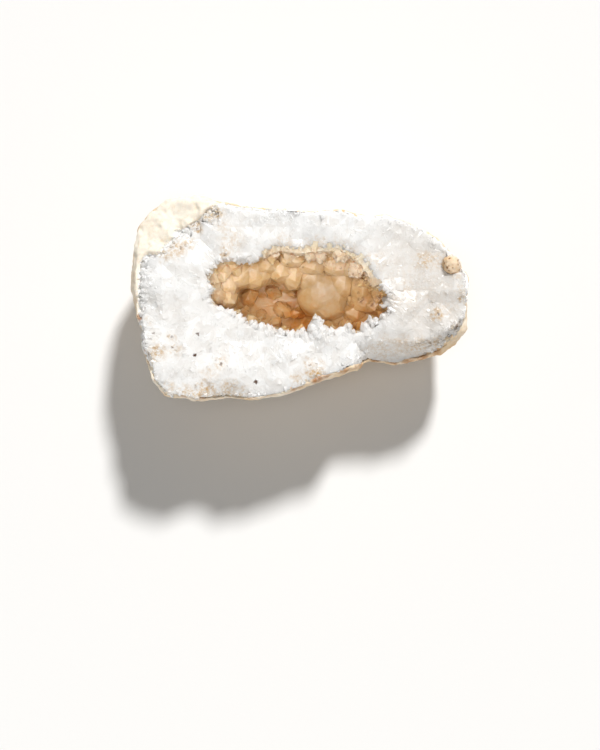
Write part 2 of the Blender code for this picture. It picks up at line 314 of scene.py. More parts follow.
def wellApart(candidates, spacing):
    # keeps the candidates that lie at least the spacing from those kept before
    kept, cells = [], {}
    for candidate in candidates:
        p = candidate[0]
        key = tuple(int(math.floor(c / spacing)) for c in p)
        near = (cells.get((key[0] + i, key[1] + j, key[2] + k), ())
                for i in (-1, 0, 1) for j in (-1, 0, 1) for k in (-1, 0, 1))
        if all((p - q).length >= spacing for group in near for q in group):
            kept.append(candidate)
            cells.setdefault(key, []).append(p)
    return kept


def strayed(direction, amount):
    return (direction + Vector([random.uniform(-amount, amount) for _ in range(3)])).normalized()


def facePoint(x, y):
    # what lies on top at a place: (node, point, normal)
    best = None
    for node, surface in surfaces.items():
        point, normal, _, _ = surface.ray_cast(Vector((x, y, 0.1)), Vector((0, 0, -1)))
        if point and (best is None or point.z > best[1].z):
            best = (node, point, normal)
    return best


def hollowAxis(x):
    # middle line of the hollow, which the comb crystals point to
    return Vector((min(max(x, -17 * mm), 17 * mm), 1.2 * mm, faceHeight - 4 * mm))


# ---- milky quartz with its broken face


quartz = {
    # spacing, radius and length of the comb crystals, in mm, the coarse ones first
    "comb": [(4.2, (1.5, 2.4), (4.0, 7.0)), (2.1, (0.9, 1.6), (2.4, 4.6)), (1.5, (0.6, 1.0), (1.6, 3.2))],
    "grains": (1.05, (0.45, 1.0)),
    "edgeGrains": (1.0, (0.5, 1.1)),             # on the broken edge, as it shows from the side
    "standsProud": (0.08, 0.30),
    # the lip of the mouth: how far apart, how deep below the face, radius and length in mm
    "lipSpacing": 1.5, "lipDepths": (0.0, 1.4, 3.0), "lipRadius": (0.7, 1.5), "lipLength": (3.6, 5.6),
    "seamFillers": [(341, 368), (343, 366), (345, 366), (347, 366), (350, 365)],
    "knob": (449, 267),
    "tilt": 0.10,
    "yaw": 0.55,
    "colourMilky": "#EAE9E7",
    "colourClear": "#E2DFDB",
    "colourShadeRight": "#D6D0C9",
    "colourTan": "#C09A5C",
    "colourDirt": "#5A3D28",
}

# rust and clay stains on the face, and three wide faint spots on the right half that are painted shade: pixel of the
# middle, radius in mm, strength
tanStainsAndShade = [
    (214, 211, 4.0, 1.0), (203, 214, 2.8, 0.8), (196, 225, 2.0, 1.0), (199, 232, 1.6, 0.8), (178, 249, 3.6, 0.75),
    (189, 244, 2.4, 0.6), (166, 256, 2.4, 0.7), (226, 254, 1.8, 0.8), (232, 240, 4.6, 0.36), (222, 226, 3.0, 0.4),
    (425, 261, 3.8, 0.75), (438, 314, 2.6, 0.9), (464, 299, 1.9, 0.9), (458, 325, 2.2, 0.5), (446, 308, 3.0, 0.3),
    (157, 353, 3.4, 0.9), (176, 350, 2.6, 0.6), (172, 337, 1.6, 0.5), (207, 392, 4.4, 0.85), (229, 391, 3.8, 0.8),
    (186, 393, 3.0, 0.6), (243, 392, 2.4, 0.5), (170, 388, 2.4, 0.7), (198, 399, 3.6, 1.0), (220, 400, 3.4, 1.0),
    (240, 399, 2.4, 0.8), (316, 376, 3.8, 1.0), (298, 380, 2.4, 0.6), (221, 363, 2.4, 0.55),
    (310, 364, 2.0, 0.55), (322, 363, 1.6, 0.4), (395, 300, 3.0, 0.35), (408, 288, 2.2, 0.35), (385, 350, 4.6, 0.5),
    (404, 347, 4.2, 0.5), (420, 347, 3.6, 0.7), (437, 343, 2.6, 0.8), (372, 349, 3.0, 0.4), (148, 320, 2.0, 0.4),
    (210, 372, 3.0, 0.3), (380, 262, 3.2, 0.3), (369, 258, 2.6, 0.35), (300, 251, 3.4, 0.35), (272, 253, 3.0, 0.5),
    (340, 249, 3.6, 0.5), (352, 252, 2.6, 0.5), (425, 290, 13, 0.16), (395, 275, 10, 0.12), (445, 300, 8, 0.16),
    (440, 261, 3.0, 0.5), (456, 274, 2.4, 0.45), (449, 257, 2.4, 0.4), (131, 262, 2.0, 0.3), (462, 290, 2.0, 0.5),
    (285, 247, 4.0, 0.45), (318, 247, 4.0, 0.5), (366, 262, 3.0, 0.5),
]
darkSpecks = [
    (256, 382, 1.1), (195, 355, 1.0), (172, 348, 0.8), (198, 334, 0.9), (172, 337, 0.7), (176, 350, 0.5),
    (154, 333, 0.7), (221, 364, 0.8), (216, 361, 0.6), (227, 366, 0.6), (310, 365, 0.7), (317, 364, 0.6),
    (181, 248, 0.7), (186, 246, 0.6), (197, 229, 0.8), (193, 225, 0.6), (225, 254, 0.8), (458, 326, 1.0),
    (461, 321, 0.8), (455, 322, 0.7), (439, 314, 0.8), (222, 213, 0.7), (216, 209, 0.6), (149, 354, 0.8),
    (145, 308, 0.7), (279, 255, 0.7), (151, 339, 0.6), (246, 372, 0.5), (289, 344, 0.5), (168, 336, 0.5),
]


def outlineReach(x, y):
    # how far inside the widest outline a place lies, measured to the rind's side wall
    middle = Vector((x, y, faceHeight - 8 * mm))
    away = Vector((x, y * 1.6, 0)).normalized()
    point, _, _, _ = surfaces["rind"].ray_cast(middle + away * 0.08, -away)
    return (point - middle).dot(away) if point else 0.0


def ease(value):
    value = min(max(value, 0.0), 1.0)
    return value * value * (3 - 2 * value)


def whiteSector(x, y):
    # 1 where white quartz runs out to the edge of the break, 0 where the cream rind frames it
    cornerEdge = Vector(onFace(205, 213)), Vector(onFace(140, 262))
    along = (cornerEdge[1] - cornerEdge[0]).normalized()
    intoCorner = (Vector((x, y)) - cornerEdge[0]).dot(Vector((along.y, -along.x)))
    intoCorner += 2.4 * mm * noise.noise(Vector((x, y, 0)) / (4.5 * mm))
    corner = ease((intoCorner + 1.5 * mm) / (3 * mm))
    leftEdge = ease((-47 * mm - x) / (2.5 * mm)) * 0.85
    nearKnob = ease(1.6 - (Vector((x, y)) - Vector(onFace(*quartz["knob"]))).length / (3.2 * mm))
    return (1 - corner) * (1 - leftEdge) * (1 - nearKnob)


def softLip(x, y):
    # 1 along the upper edge of the mouth, where pale druse slopes up to the face without a white lip
    return ease((x + 12.5 * mm) / (3 * mm)) * ease((25 * mm - x) / (3 * mm)) * ease((y - 1.5 * mm) / (3 * mm))


def rimShows(x, y):
    # 1 along the lower edge of the break, where a thin line of rind frames the quartz
    return ease((-y - 10 * mm + 0.1 * x) / (5 * mm)) * ease((x + 50 * mm) / (3 * mm))


def brokenPlaces(count):
    # places on the broken face where quartz shows, with what lies under them
    places = []
    for _ in range(count):
        x, y = random.uniform(-51, 51) * mm, random.uniform(-31, 31) * mm
        found = facePoint(x, y)
        if not found or found[2].z < 0.4:
            continue
        node, point, normal = found
        if node == "crystal_crust" and (point.z < faceHeight - 2.0 * mm or softLip(x, y) > 0.3):
            continue
        if (Vector((x, y)) - Vector(onFace(*quartz["knob"]))).length < 3.4 * mm:
            continue
        if node == "rind":
            if whiteSector(x, y) < 0.8 or point.z < faceHeight - 5.5 * mm:
                continue
        if outlineReach(x, y) < 0.9 * mm:
            continue
        if whiteSector(x, y) < 0.85 and surfaces["rind"].find_nearest(point)[3] < 1.5 * mm:
            continue
        places.append((point, normal))
    return places


def breakHeight(x, y):
    # the broken face without its relief: level, but for the ledge along the right half of its lower edge
    return faceHeight - min(1.35 * ease((x - 17 * mm) / (3 * mm)) * max(0.0, -12.4 * mm - y), 8 * mm)


def sideReach(p):
    # how far inside the rind's side a point lies, seen a little below its own height
    away = Vector((p.x, p.y * 1.6, 0)).normalized()
    level = Vector((p.x, p.y, p.z - 0.6 * mm))
    skin = surfaces["rind"].ray_cast(level + away * 0.08, -away)[0]
    return (skin - level).dot(away) if skin else 1.0


def runOut(bm):
    # moves the edge of the quartz face out: over the seam everywhere, and to the outline where the break is white
    for vertex in bm.verts:
        p = vertex.co
        sideways = Vector((vertex.normal.x, vertex.normal.y, 0))
        if p.z < faceHeight - 9 * mm or sideways.length < 0.25 or sideways.dot(Vector((p.x, p.y, 0))) < 0:
            continue
        face = facePoint(p.x * 0.96, p.y * 0.96)
        if not face or p.z < face[1].z - 1.6 * mm:
            continue
        away = Vector((p.x, p.y * 1.6, 0)).normalized()
        level = Vector((p.x, p.y, p.z - 0.6 * mm))
        skin, _, _, _ = surfaces["rind"].ray_cast(level + away * 0.08, -away)
        if skin:
            reach = (skin - level).dot(away) - (0.25 + 0.15 * rimShows(skin.x, skin.y)) * mm
            if 0 < reach < 5 * mm:
                white = whiteSector(skin.x, skin.y)
                reach = max(reach * white, min(reach, 0.6 * mm))
                vertex.co = p + away * reach - Vector((0, 0, 0.6 * mm * (1 - white)))
    return bm


def hasGround(point, reach):
    # true where the face goes on at about the same height
    for sign in (-1, 1):
        end = point + reach * sign
        ground = facePoint(end.x, end.y)
        if not ground or abs(ground[1].z - end.z) > 1.1 * mm or outlineReach(end.x, end.y) < 0.7 * mm:
            return False
        if ground[0] == "rind" and whiteSector(end.x, end.y) < 0.75:
            return False
    return True


def growComb():
    # comb quartz: crystals that ran from the rind to the hollow, broken open along their length
    places = brokenPlaces(30000)
    grown = []
    for spacing, radii, lengths in quartz["comb"]:
        random.shuffle(places)
        for point, normal in wellApart(places, spacing * mm):
            if spacing > 1.5 and whiteSector(point.x, point.y) < 0.97:
                continue
            if spacing > 1.5 and softLip(point.x, point.y) > 0.2 and mouthDistance(point.x, point.y) < spacing * mm:
                continue
            radius = random.uniform(*radii) * mm
            length = random.uniform(*lengths) * mm
            inwards = (hollowAxis(point.x) - point).normalized()
            along = inwards - normal * inwards.dot(normal)
            side = normal.cross(along)
            yaw = random.gauss(0, quartz["yaw"])
            tilt = random.gauss(0, quartz["tilt"])
            axis = (along.normalized() + side.normalized() * yaw + normal * tilt).normalized()
            while length > radius and not hasGround(point, axis * length * 0.5):
                length *= 0.7
            if length < 1.2 * radius:
                continue
            proud = random.uniform(*quartz["standsProud"]) * mm
            root = point - axis * length * 0.5 - normal * (radius * 0.87 - proud)
            grown.append(hexCrystal(root, axis, length, radius))
    spacing, radii = quartz["grains"]
    random.shuffle(places)
    for point, normal in wellApart(places, spacing * mm):
        radius = random.uniform(*radii) * mm
        axis = strayed((hollowAxis(point.x) - point).normalized(), 0.5)
        axis = (axis - normal * axis.dot(normal) * 0.7).normalized()
        proud = random.uniform(*quartz["standsProud"]) * mm * whiteSector(point.x, point.y) ** 3
        grown.append(brokenGrain(point - normal * (radius * 0.8 - proud), axis, radius * 2.6, radius))
    for u, v in quartz["seamFillers"]:
        x, y = onFace(u, v)
        ground = facePoint(x, y)
        if ground:
            centre = Vector((x, y, max(ground[1].z, breakHeight(x, y) - 0.6 * mm) - 0.8 * mm))
            grown.append(brokenGrain(centre, Vector((1, 0.3, 0)), 3.4 * mm, 1.2 * mm))
    return grown


# edge of the mouth in the photograph, clockwise from its left tip
mouthEdge = [
    (206, 283), (211, 271), (219, 261), (230, 258), (238, 263), (250, 263), (258, 261), (264, 254), (276, 252),
    (298, 259), (304, 258), (319, 256), (340, 251), (350, 255), (356, 262), (361, 273), (369, 282), (376, 289),
    (387, 294), (389, 305), (383, 313), (376, 318), (364, 321), (361, 329), (354, 333), (346, 326), (334, 329),
    (324, 326), (314, 322), (309, 330), (301, 330), (287, 329), (276, 327), (269, 324), (259, 321), (247, 318),
    (241, 313), (233, 309), (219, 305), (204, 301), (213, 291),
]
# crystals of the lip that stand out: pixel of the tip, direction, length, radius in mm and depth of the tip
bigTeeth = [
    (313, 319, (-0.10, 1.0, 0.02), 7.5, 2.5, 0.4), (346, 323, (0.10, 1.0, 0.05), 6.0, 1.9, 0.5),
    (331, 326, (-0.2, 1.0, 0.05), 5.0, 1.7, 0.6), (324, 324, (0.25, 1.0, 0.0), 5.0, 1.5, 0.5),
    (362, 321, (-0.3, 0.9, 0.0), 5.0, 1.6, 0.5), (214, 291, (1.0, 0.05, 0.0), 5.0, 1.5, 0.4),
    (239, 265, (0.1, -1.0, 0.05), 5.5, 1.9, 0.4), (250, 265, (-0.15, -1.0, 0.0), 4.5, 1.6, 0.5),
    (229, 260, (0.3, -1.0, 0.0), 4.5, 1.4, 0.6), (279, 327, (0.1, 1.0, 0.1), 4.5, 1.4, 0.6),
    (262, 321, (0.2, 1.0, 0.1), 4.0, 1.3, 0.6), (297, 329, (0.0, 1.0, 0.1), 4.0, 1.3, 0.6),
]


def mouthDistance(x, y):
    # how far a place lies from the edge of the mouth
    place = Vector((x, y))
    corners = [Vector(onFace(u, v)) for u, v in mouthEdge]
    nearest = 1.0
    for start, end in zip(corners, corners[1:] + corners[:1]):
        along = end - start
        share = min(max((place - start).dot(along) / along.length_squared, 0.0), 1.0)
        nearest = min(nearest, (place - start - along * share).length)
    return nearest


def growLip():
    # comb crystals broken off along the mouth: they run out over the druse and end in a jagged edge
    corners = [Vector((*onFace(u, v), 0)) for u, v in mouthEdge]
    grown = []
    for start, end in zip(corners, corners[1:] + corners[:1]):
        count = max(1, round((end - start).length / (quartz["lipSpacing"] * mm)))
        inwards = Vector((0, 0, 1)).cross(end - start).normalized() * -1
        for k in range(count):
            for deep in quartz["lipDepths"]:
                tip = start.lerp(end, (k + random.uniform(0.1, 0.9)) / count)
                if softLip(tip.x, tip.y) > 0.4:
                    continue
                radius = random.uniform(*quartz["lipRadius"]) * mm
                length = random.uniform(*quartz["lipLength"]) * mm
                aim = strayed(inwards, 0.4)
                aim = Vector((aim.x, aim.y, random.uniform(-0.08, 0.08))).normalized()
                tip += aim * random.uniform(-0.7, 0.4) * mm
                back = tip - aim * (length * 0.75)
                ground = facePoint(back.x, back.y)
                if not ground or ground[1].z < faceHeight - 4 * mm:
                    continue
                proud = random.uniform(*quartz["standsProud"]) * mm
                tip.z = ground[1].z - radius * 0.87 + proud - deep * random.uniform(0.7, 1.2) * mm
                grown.append(hexCrystal(tip - aim * length, aim, length, radius))
    for u, v, aim, length, radius, deep in bigTeeth:
        aim = Vector(aim).normalized()
        tip = Vector((*onFace(u, v), 0))
        back = tip - aim * length * 0.75 * mm
        ground = facePoint(back.x, back.y)
        tip.z = (ground[1].z if ground else faceHeight) - (0.87 * radius + deep - 0.5) * mm
        grown.append(hexCrystal(tip - aim * length * mm, aim, length * mm, radius * mm))
    return grown


def growEdge(body):
    # grains over the edge of the break that shows from the side
    body.normal_update()
    sides = [f for f in body.faces if f.normal.z < 0.8 and f.normal.dot(f.calc_center_median() * Vector((1, 1, 0))) > 0]
    places = []
    for face in random.choices(sides, [f.calc_area() for f in sides], k=9000):
        a, b, c = [v.co for v in face.verts[:3]]
        s, t = random.random(), random.random()
        if s + t > 1:
            s, t = 1 - s, 1 - t
        point = a + (b - a) * s + (c - a) * t
        if breakHeight(point.x, point.y) - point.z > 3.2 * mm or sideReach(point) > 0.9 * mm:
            continue
        if whiteSector(point.x, point.y) > 0.85:
            places.append((point, face.normal.copy()))
    grown = []
    spacing, radii = quartz["edgeGrains"]
    for point, normal in wellApart(places, spacing * mm):
        radius = random.uniform(*radii) * mm
        proud = random.uniform(0.05, 0.3) * mm
        axis = strayed(Vector((0, 0, 1)), 0.7)
        grown.append(brokenGrain(point - normal * (radius * 0.8 - proud), axis, radius * 2.4, radius))
    return grown


def spotMask(tree, place, spots, softness):
    # the strongest of several soft round spots, given as pixel, radius in mm and strength
    flat = addNode(tree, "VectorMath", {0: place, 1: (1.0, 1.0, 0.0)}, operation="MULTIPLY").outputs[0]
    strongest = None
    for u, v, radius, strength in spots:
        x, y = onFace(u, v)
        away = addNode(tree, "VectorMath", {0: flat, 1: (x, y, 0.0)}, operation="DISTANCE")
        spot = addNode(tree, "MapRange", {
            "Value": away.outputs["Value"], "From Min": radius * mm * softness, "From Max": radius * mm * 1.25,
            "To Min": strength, "To Max": 0.0,
        }, interpolation_type="SMOOTHSTEP")
        if strongest is None:
            strongest = spot.outputs[0]
        else:
            strongest = addNode(tree, "Math", {0: strongest, 1: spot.outputs[0]}, operation="MAXIMUM").outputs[0]
    return strongest


def mixed(tree, share, first, second, blend="MIX"):
    node = addNode(tree, "Mix", {0: share, 6: first, 7: second}, data_type="RGBA", blend_type=blend)
    return node.outputs[2]


def milkyQuartz():
    # massive and comb quartz, broken: waxy to glassy grains, each a little clearer or milkier than the next,
    # light sinks in and comes out softly, rust and clay in the cracks
    material, tree = newMaterial("milky quartz, broken")
    place = addNode(tree, "TexCoord").outputs["Object"]
    waver = addNode(tree, "TexNoise", {"Vector": place, "Scale": 1 / (2.2 * mm), "Detail": 4.0, "Roughness": 0.6})
    shifted = addNode(tree, "VectorMath", {0: waver.outputs["Color"], 1: (0.5, 0.5, 0.5)}, operation="SUBTRACT")
    warped = addNode(tree, "VectorMath", {
        0: shifted.outputs[0], 1: (4.5 * mm, 4.5 * mm, 1 * mm), 2: place,
    }, operation="MULTIPLY_ADD").outputs[0]

    grains = addNode(tree, "TexVoronoi", {"Vector": place, "Scale": 1 / (2.1 * mm)})
    clearness = addNode(tree, "SeparateColor", {0: grains.outputs["Color"]}).outputs[0]
    clouds = addNode(tree, "TexNoise", {"Vector": place, "Scale": 1 / (9 * mm), "Detail": 5.0, "Roughness": 0.65})
    both = addNode(tree, "Math", {0: clearness, 1: clouds.outputs[0]}, operation="MULTIPLY").outputs[0]
    share = addNode(tree, "MapRange", {"Value": both, "From Min": 0.12, "From Max": 0.5}).outputs[0]
    colour = mixed(tree, share, linear(quartz["colourMilky"]), linear(quartz["colourClear"]))

    # painted shade: the face turns greyer towards its right end, which lies out of the key light
    east = addNode(tree, "SeparateXYZ", {0: warped}).outputs[0]
    paintedShadeRight = addNode(tree, "MapRange", {
        "Value": east, "From Min": 18 * mm, "From Max": 34 * mm, "To Max": 0.5,
    }, interpolation_type="SMOOTHSTEP").outputs[0]
    colour = mixed(tree, paintedShadeRight, colour, linear(quartz["colourShadeRight"]))

    fleck = addNode(tree, "TexNoise", {"Vector": place, "Scale": 1 / (1.1 * mm), "Detail": 6.0, "Roughness": 0.75})
    broken = addNode(tree, "MapRange", {"Value": fleck.outputs[0], "From Min": 0.42, "From Max": 0.62}).outputs[0]
    # the stains, with painted shade from the wide faint spots on the right half
    stain = spotMask(tree, warped, tanStainsAndShade, 0.3)
    stained = addNode(tree, "Math", {0: stain, 1: broken}, operation="MULTIPLY").outputs[0]
    colour = mixed(tree, stained, colour, linear(quartz["colourTan"]))

    bits = addNode(tree, "TexNoise", {"Vector": place, "Scale": 1 / (0.7 * mm), "Detail": 3.0})
    ragged = addNode(tree, "VectorMath", {
        0: bits.outputs["Color"], 1: (1.6 * mm, 1.6 * mm, 0.0), 2: place,
    }, operation="MULTIPLY_ADD").outputs[0]
    centred = addNode(tree, "VectorMath", {0: ragged, 1: (0.8 * mm, 0.8 * mm, 0.0)}, operation="SUBTRACT").outputs[0]
    specks = spotMask(tree, centred, [(u, v, 0.62 * r, min(1.0, r * r)) for u, v, r in darkSpecks], 0.5)
    grit = addNode(tree, "MapRange", {"Value": bits.outputs[0], "From Min": 0.30, "From Max": 0.42}).outputs[0]
    speckled = addNode(tree, "Math", {0: specks, 1: grit}, operation="MULTIPLY").outputs[0]
    colour = mixed(tree, speckled, colour, linear(quartz["colourDirt"]))

    sugar = addNode(tree, "TexVoronoi", {"Vector": place, "Scale": 1 / (0.55 * mm)})
    bump = addNode(tree, "Bump", {"Height": sugar.outputs[0], "Strength": 0.35, "Distance": 0.12 * mm})
    gloss = addNode(tree, "MapRange", {"Value": clouds.outputs[0], "To Min": 0.22, "To Max": 0.5}).outputs[0]
    shade = addNode(tree, "BsdfPrincipled", {
        "Base Color": colour, "Roughness": gloss, "IOR": 1.544, "Normal": bump.outputs[0],
        "Subsurface Weight": 0.9, "Subsurface Radius": (1.0, 1.0, 1.0), "Subsurface Scale": 5 * mm,
    })
    out = addNode(tree, "OutputMaterial")
    tree.links.new(shade.outputs[0], out.inputs[0])
    return material


def buildQuartz():
    body = runOut(weldedCopy("quartz_wall", 0.16 * mm, 0.6 * mm))
    mesh = fuse("quartzBody", body, growComb() + growLip() + growEdge(body))
    mesh.materials.clear()
    body = newObject("quartzBody", mesh, milkyQuartz())
    mesh.shade_smooth()
    mesh.set_sharp_from_angle(angle=math.radians(14))
    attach(body, "root")
    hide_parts("quartz_wall")
    print("quartz body ready")


buildQuartz()


# ---- honey druse that lines the hollow


druse = {
    # spacing and radius of the crystals in mm, then how far their tips stand out
    "big": (2.2, (1.1, 1.9), (0.3, 1.0)),
    "small": (1.3, (0.5, 1.0), (0.15, 0.6)),
    "stray": 0.4,
    "moundRadius": (0.8, 1.5),
    "lipSpacing": 1.3, "lipRadius": (0.5, 1.5),
    "moundSquare": 2.6,          # 2 is round, more is flatter on top with steeper sides
    "rimDrop": 2.2,
    "colourRim": "#FFF3E6",
    "colourPale": "#FCE4C8",
    "colourGreyShade": "#D2CCC6",
    "colourHoney": "#EFCB96",
    "colourAmber": "#EAA758",
    "colourBrown": "#A8622A",
    "colourRust": "#7A4A22",
}

# where the iron tint is stronger or weaker inside, with darker tint as painted shade in the deep crevice and on the
# lower wall: pixel, depth and reach in mm, then the tint from 0 to 1
tintAndShadeZones = [
    (218, 280, 6, 9, 0.42), (250, 275, 8, 9, 0.50), (285, 268, 6, 8, 0.50), (265, 291, 16, 7, 0.82),
    (245, 293, 16, 5, 0.84), (262, 310, 16, 7, 0.46), (288, 318, 12, 4, 0.60), (300, 312, 16, 4.5, 0.96),
    (306, 326, 10, 3.5, 1.0), (325, 290, 8, 9, 0.50), (340, 300, 8, 6, 0.58), (370, 300, 5, 5, 0.66),
    (365, 305, 5, 2.5, 0.70), (345, 258, 3, 6, 0.42), (300, 258, 3, 5, 0.42), (228, 303, 4, 4, 0.44),
    (244, 311, 5, 5, 0.48), (264, 318, 5, 6, 0.54), (286, 324, 5, 5, 0.68), (324, 322, 5, 5, 0.64),
    (342, 322, 6, 5, 0.68), (358, 320, 5, 5, 0.84), (376, 311, 4, 4, 0.66),
]
# painted shade: greyer, darker crystals over the cluster and the right end: pixel, reach in mm, strength
greyShadeZones = [(324, 292, 8, 1.0), (345, 305, 7, 0.9), (370, 302, 6, 1.0), (342, 280, 5, 0.6), (255, 270, 9, 0.25),
              (285, 265, 7, 0.25)]
# ledges and clusters inside: pixel of the middle, depth of the top, half sizes along x, y and z, crystals
mounds = [
    (240, 272, 5.0, (4.2, 4.6, 6.0), 34), (254, 271, 5.6, (4.0, 5.2, 6.0), 34), (268, 263, 4.4, (4.4, 3.4, 5.0), 26),
    (281, 268, 5.2, (3.6, 4.4, 6.0), 28), (293, 273, 6.0, (3.8, 4.8, 6.0), 30), (262, 270, 6.2, (3.2, 4.6, 5.0), 20),
    (211, 281, 3.8, (3.6, 4.4, 5.0), 26), (220, 270, 4.2, (3.6, 3.8, 5.0), 24), (228, 281, 5.2, (3.4, 4.6, 5.5), 26),
    (216, 294, 5.0, (3.6, 2.8, 4.5), 22), (227, 296, 6.2, (3.2, 3.4, 4.5), 20), (232, 264, 4.6, (3.4, 3.0, 4.5), 18),
    (324, 291, 7.4, (8.2, 7.8, 8.0), 110), (329, 306, 8.6, (6.0, 4.4, 6.0), 44), (313, 276, 7.0, (5.0, 4.6, 6.0), 36),
    (343, 280, 6.8, (4.4, 5.6, 6.0), 36), (338, 264, 4.4, (5.0, 3.6, 4.5), 28), (312, 264, 4.2, (4.6, 3.0, 4.5), 26),
    (366, 300, 6.0, (4.4, 4.0, 5.0), 30), (356, 312, 8.0, (4.0, 3.4, 5.0), 24), (376, 304, 5.0, (3.2, 3.0, 4.0), 20),
    (362, 286, 5.0, (3.2, 4.6, 5.0), 26), (292, 258, 3.2, (4.4, 2.6, 4.0), 22), (352, 266, 3.6, (3.0, 3.4, 4.0), 20),
]
# iron stain that crept along the crystals' seams: pixel, radius in mm, strength
rustSpots = [
    (363, 276, 1.1, 1.0), (366, 281, 0.7, 0.9), (370, 286, 0.7, 0.8), (362, 299, 1.3, 0.8), (372, 303, 1.1, 0.8),
    (380, 296, 1.0, 0.8), (384, 303, 0.8, 0.8), (378, 308, 0.8, 0.7), (353, 274, 0.5, 0.6), (356, 284, 0.5, 0.7),
    (359, 292, 0.5, 0.7), (276, 258, 0.6, 0.6), (280, 260, 0.5, 0.7), (304, 260, 0.6, 0.6), (303, 266, 0.5, 0.5),
    (325, 270, 0.4, 0.5), (341, 267, 0.5, 0.5), (348, 261, 0.5, 0.7), (356, 267, 0.5, 0.6), (275, 277, 0.5, 0.4),
    (254, 288, 0.4, 0.5), (287, 264, 0.5, 0.5), (336, 257, 0.6, 0.4), (345, 256, 0.6, 0.5),
]


def hollowRays(count):
    # places on the hollow's wall, found by looking out from its middle line
    found = []
    for _ in range(count):
        x = random.uniform(-22, 22) * mm
        start = hollowAxis(x) + Vector((0, 0, random.uniform(-8, 2) * mm))
        if (start.x - x) != 0:
            start.x = x * 0.9
        aim = Vector([random.gauss(0, 1) for _ in range(3)]).normalized()
        point, normal, _, distance = surfaces["crystal_crust"].ray_cast(start, aim)
        if not point or normal.dot(aim) > 0:
            continue
        if point.z > faceHeight - (3.2 - 2.4 * softLip(point.x, point.y)) * mm:
            continue
        underLip = point.y < 0 and normal.y > 0.35 and point.z > faceHeight - 8 * mm
        if underLip:
            continue
        back = (start - point).normalized()
        found.append((point, (normal * 0.5 + back * 0.6 + Vector((0, 0, 0.15))).normalized()))
    random.shuffle(found)
    return found


def growSoftLip():
    # small pale crystals where the druse comes up to the face along the upper edge of the mouth
    places = []
    for _ in range(9000):
        x, y = random.uniform(-14, 26) * mm, random.uniform(1, 17) * mm
        found = facePoint(x, y)
        if not found or softLip(x, y) < 0.2 or found[1].z < faceHeight - 6 * mm:
            continue
        if found[0] == "crystal_crust" or found[0] == "quartz_wall" and mouthDistance(x, y) < 1.1 * mm:
            places.append((found[1], found[2]))
    grown = []
    for point, normal in wellApart(places, druse["lipSpacing"] * mm):
        radius = random.uniform(*druse["lipRadius"]) * mm
        axis = strayed((normal + Vector((0, -0.8, 0.6))).normalized(), 0.5)
        tip = point + axis * random.uniform(0.35, 0.8) * mm
        grown.append(hexCrystal(tip - axis * 2.4 * radius, axis, 2.4 * radius, radius))
    return grown


def growMound(u, v, deep, half, count):
    # crystals that fan out from one root and end on a rounded form
    wide, long, high = [size * mm for size in half]
    middle = Vector((*onFace(u, v), faceHeight - deep * mm - high))
    grown = []
    body = bmesh.new()
    for k in range(count):
        rise = 1 - 1.3 * (k + 0.5) / count
        turn = k * 2.39996 + random.uniform(-0.3, 0.3)
        flat = math.sqrt(max(0.0, 1 - rise * rise))
        spoke = Vector((flat * math.cos(turn), flat * math.sin(turn), rise))
        square = sum(abs(c) ** druse["moundSquare"] for c in spoke) ** (-1 / druse["moundSquare"])
        spoke *= square * random.uniform(0.94, 1.04)
        end = middle + Vector((spoke.x * wide, spoke.y * long, spoke.z * high))
        body.verts.new(end)
        if k % 2:
            continue
        axis = strayed(Vector((spoke.x / wide, spoke.y / long, spoke.z / high)).normalized(), 0.2)
        radius = random.uniform(*druse["moundRadius"]) * mm
        length = 0.8 * (end - middle).length
        tip = end + axis * random.uniform(0.1, 0.6) * mm
        grown.append(hexCrystal(tip - axis * length, axis, length, radius, blunt=random.uniform(0.84, 0.92)))
    bmesh.ops.convex_hull(body, input=body.verts)
    bmesh.ops.delete(body, geom=[v for v in body.verts if not v.link_faces], context="VERTS")
    body.verts.index_update()
    grown.append(([v.co.copy() for v in body.verts], [tuple(v.index for v in f.verts) for f in body.faces]))
    body.free()
    return grown


def growDruse():
    # mostly buried, so that broad low points show and the druse stays soft
    grown = []
    for size in ("big", "small"):
        spacing, radii, stands = druse[size]
        for point, inwards in wellApart(hollowRays(9000), spacing * mm):
            radius = random.uniform(*radii) * mm
            axis = strayed(inwards, druse["stray"])
            length = 2.2 * radius
            tip = point + axis * random.uniform(*stands) * mm
            grown.append(hexCrystal(tip - axis * length, axis, length, radius, blunt=random.uniform(0.8, 0.95)))
    for mound in mounds:
        grown += growMound(*mound)
    return grown + growSoftLip()


def tintCrystals(mesh):
    # depth and the zones above give each corner its share of iron tint and of painted shade
    count = len(mesh.vertices)
    places = np.empty(count * 3, np.float32)
    mesh.vertices.foreach_get("co", places)
    places = places.reshape(-1, 3)
    depth = np.clip((faceHeight - places[:, 2]) / mm, 0, 30)
    # painted shade in part: the tint grows darker and more amber with depth
    tint = np.clip(0.30 + 0.02 * depth, 0, 0.62)
    total = np.full(count, 0.25)
    tint = tint * total
    for u, v, deep, reach, strength in tintAndShadeZones:
        x, y = onFace(u, v)
        away = ((places[:, 0] - x) / mm) ** 2 + ((places[:, 1] - y) / mm) ** 2
        away += 0.35 * (depth - deep) ** 2
        weight = np.exp(-away / (reach * reach))
        tint += weight * strength
        total += weight
    tint = tint / total
    # painted light: the crystals stay paler near the rim, where more light falls
    tint *= np.clip(depth / 3.0, 0.7, 1.0)       # paler near the rim
    greyShade = np.zeros(count)
    for u, v, reach, strength in greyShadeZones:
        x, y = onFace(u, v)
        away = ((places[:, 0] - x) / mm) ** 2 + ((places[:, 1] - y) / mm) ** 2
        greyShade = np.maximum(greyShade, strength * np.exp(-away / (reach * reach)))
    for name, values in (("ironTintAndShade", tint), ("greyShade", greyShade)):
        layer = mesh.attributes.new(name, "FLOAT", "POINT")
        layer.data.foreach_set("value", values.astype(np.float32))


